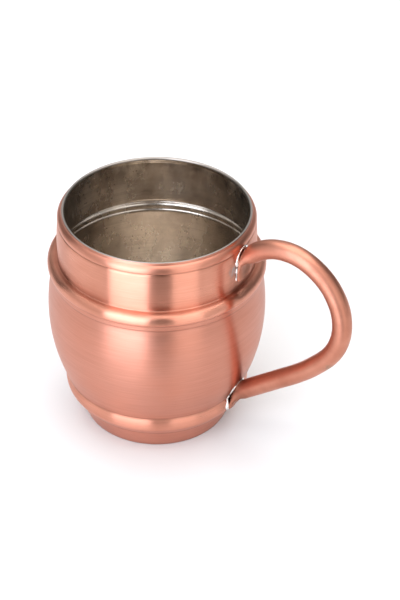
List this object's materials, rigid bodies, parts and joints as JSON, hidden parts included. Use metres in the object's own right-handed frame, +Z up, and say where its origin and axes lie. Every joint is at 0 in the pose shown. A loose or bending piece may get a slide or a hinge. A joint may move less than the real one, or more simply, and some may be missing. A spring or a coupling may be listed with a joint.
{
  "type": "drinking mug",
  "caption": "Barrel-shaped copper mug with rolled beads, a tinned inside and a soldered tube handle.",
  "frame": {"origin": "centre of the ring that the mug stands on, on the body's axis", "axes": "+Z up the body's axis, +X through the middle of the handle"},
  "size_m": [0.1357, 0.0904, 0.1043],
  "materials": {
    "copper": "satin",
    "tin": "satin",
    "solder": "gloss"
  },
  "bodies": {
    "root": {"body_shell": "copper", "tin_lining": "tin", "handle_tube": "copper", "upper_solder_joint": "solder", "lower_solder_joint": "solder"}
  },
  "joints": []
}
